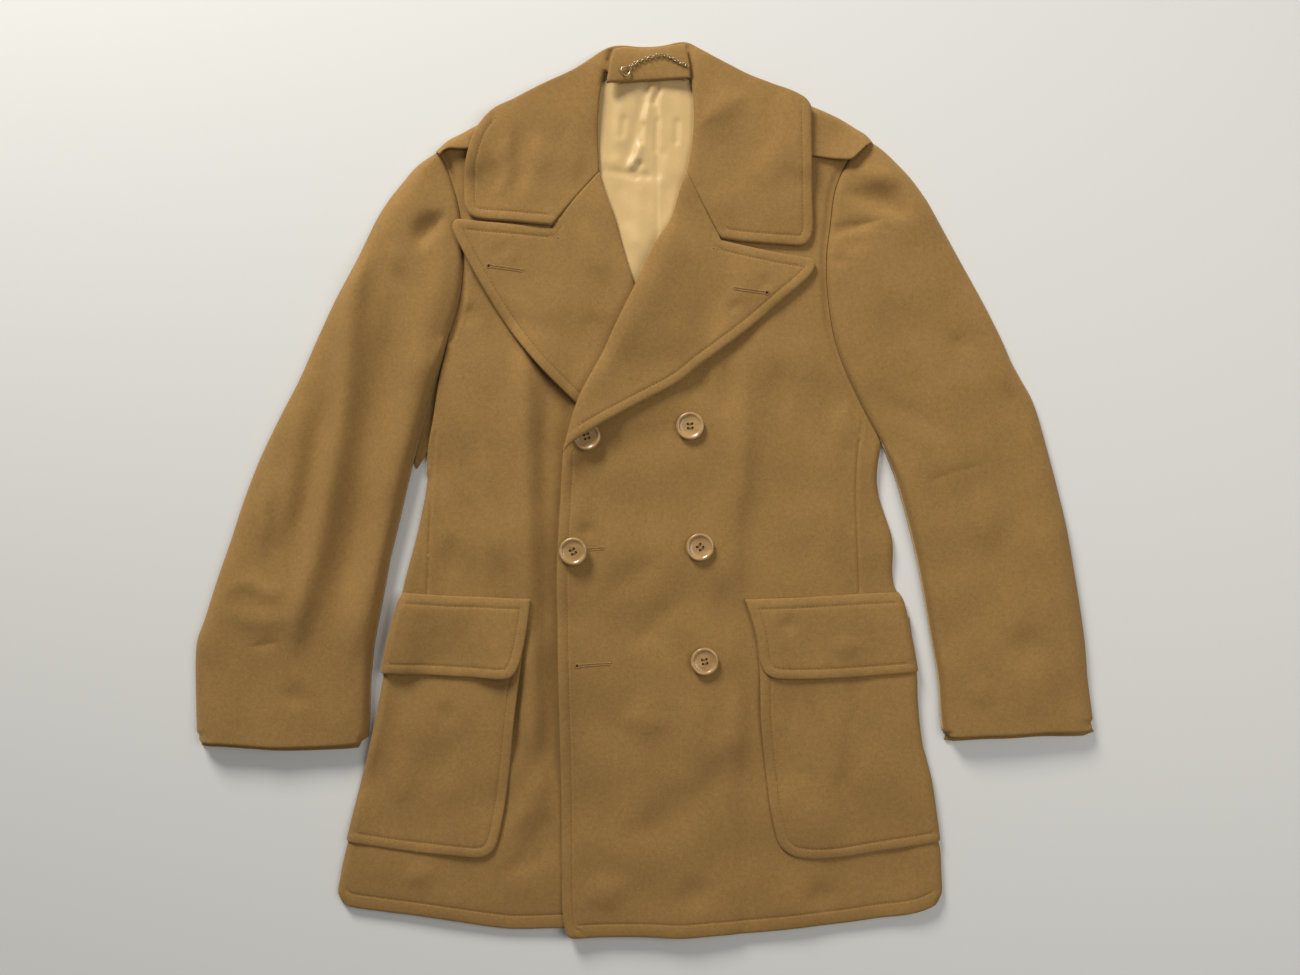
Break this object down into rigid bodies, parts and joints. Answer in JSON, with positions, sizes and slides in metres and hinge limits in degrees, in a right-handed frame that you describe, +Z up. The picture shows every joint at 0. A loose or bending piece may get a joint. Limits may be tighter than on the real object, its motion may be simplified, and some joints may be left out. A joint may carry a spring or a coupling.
{
  "type": "short double-breasted greatcoat, laid flat",
  "caption": "Short double-breasted wool greatcoat laid flat and face up, with wide collar, peaked lapels, shoulder straps and flapped patch pockets",
  "frame": {"origin": "on the floor, in the middle of the coat's outline as it lies", "axes": "+Z up off the floor, +Y from hem to collar, +X to the right of the coat as it lies face up (the wearer's left)"},
  "size_m": [0.9079, 0.9032, 0.0244],
  "materials": {
    "wool": "heavy milled wool, matt, short nap",
    "satin": "smooth satin lining, soft sheen",
    "horn": "polished horn-like buttons",
    "metal": "dull brass chain"
  },
  "bodies": {
    "root": {"back": "wool", "front_left": "wool", "front_right": "wool", "sleeve_left_top": "wool", "sleeve_left_under": "wool", "sleeve_right_top": "wool", "sleeve_right_under": "wool", "lapel_left": "wool", "lapel_right": "wool", "collar": "wool", "collar_stand": "wool", "strap_left": "wool", "strap_right": "wool", "pocket_left": "wool", "pocket_right": "wool", "flap_left": "wool", "flap_right": "wool", "lining_back": "satin", "button_1": "horn", "button_2": "horn", "button_3": "horn", "button_4": "horn", "button_5": "horn", "hanger_chain": "metal"}
  },
  "joints": []
}
